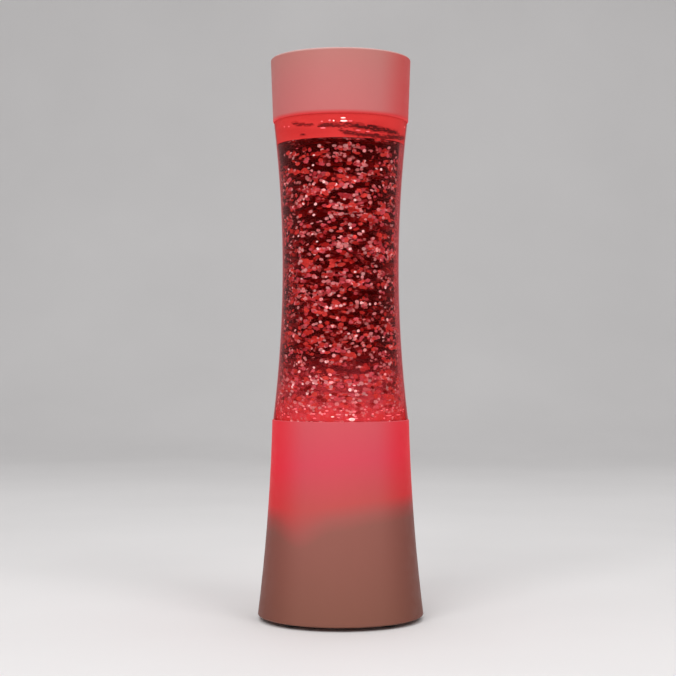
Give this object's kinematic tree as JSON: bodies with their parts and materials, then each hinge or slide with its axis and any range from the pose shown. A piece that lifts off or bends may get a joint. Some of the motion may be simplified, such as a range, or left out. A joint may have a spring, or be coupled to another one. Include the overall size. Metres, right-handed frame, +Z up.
{
  "type": "glitter lamp",
  "caption": "Glitter lamp: flared base with cells, lights and a motor, waisted clear bottle of red liquid and glitter stirred by magnets, plain cap on top.",
  "frame": {"origin": "on the table under the lamp's axis, at the level of the feet", "axes": "+Z up along the lamp's axis; +X from the battery door's hinge to its free end; -Y towards the switch"},
  "size_m": [0.0998, 0.0998, 0.3374],
  "materials": {
    "base_plastic": "satin translucent",
    "cover_plastic": "fine matt",
    "cap_plastic": "satin translucent",
    "clear_bottle": "polished clear",
    "red_liquid": "clear liquid",
    "glitter": "mirror film",
    "foot_rubber": "matt",
    "seal_rubber": "matt",
    "screw_steel": "zinc plated",
    "contact_steel": "nickel plated",
    "shaft_steel": "ground",
    "cell_wrap": "plain printed sleeve",
    "switch_plastic": "matt",
    "knob_plastic": "matt",
    "deck_plastic": "matt",
    "board_laminate": "solder mask",
    "led_lens": "clear moulded",
    "chip_plastic": "moulded",
    "motor_metal": "drawn can",
    "nylon": "moulded",
    "magnet": "nickel plated",
    "wire_red": "insulated"
  },
  "bodies": {
    "housing": {"base_shell": "base_plastic", "bottom_cover": "cover_plastic", "top_cap": "cap_plastic", "bottle": "clear_bottle", "liquid": "red_liquid", "glitter_flakes": "glitter", "rubber_feet": "foot_rubber", "stopper_seal": "seal_rubber", "cover_screws": "screw_steel", "deck_screws": "screw_steel", "switch_screws": "screw_steel", "strap_screws": "screw_steel", "pocket_springs": "contact_steel", "pocket_contacts": "contact_steel", "motor_strap": "contact_steel", "stirrer_pin": "shaft_steel", "battery_cells": "cell_wrap", "switch_case": "switch_plastic", "light_deck": "deck_plastic", "led_board": "board_laminate", "leds": "led_lens", "control_chip": "chip_plastic", "motor_can": "motor_metal", "motor_end_bell": "nylon", "pin_cap": "nylon", "bottle_stopper": "nylon", "battery_leads": "wire_red", "switch_leads": "wire_red"},
    "battery_door": {"battery_door": "cover_plastic", "door_contacts": "contact_steel", "door_spring": "contact_steel"},
    "switch_knob": {"switch_knob": "knob_plastic"},
    "motor_rotor": {"motor_shaft": "shaft_steel", "magnet_hub": "nylon", "drive_magnets": "magnet"},
    "stirrer": {"stirrer": "nylon", "stirrer_magnets": "magnet"}
  },
  "joints": [
    {"name": "battery_door_hinge", "type": "hinge", "parent": "housing", "child": "battery_door", "pos_m": [-0.02415, 0, 0.0048], "axis": [0, 1, 0], "range_deg": [0, 90]},
    {"name": "switch_slide", "type": "slide", "parent": "housing", "child": "switch_knob", "axis": [1, 0, 0], "range_m": [0, 0.004]},
    {"name": "motor_spin", "type": "hinge", "parent": "housing", "child": "motor_rotor", "pos_m": [0, 0, 0.09], "axis": [0, 0, 1], "continuous": true},
    {"name": "stirrer_spin", "type": "hinge", "parent": "housing", "child": "stirrer", "pos_m": [0, 0, 0.11], "axis": [0, 0, 1], "continuous": true}
  ],
  "couplings": [
    {"joint": "stirrer_spin", "follows": "motor_spin", "ratio": 1}
  ]
}
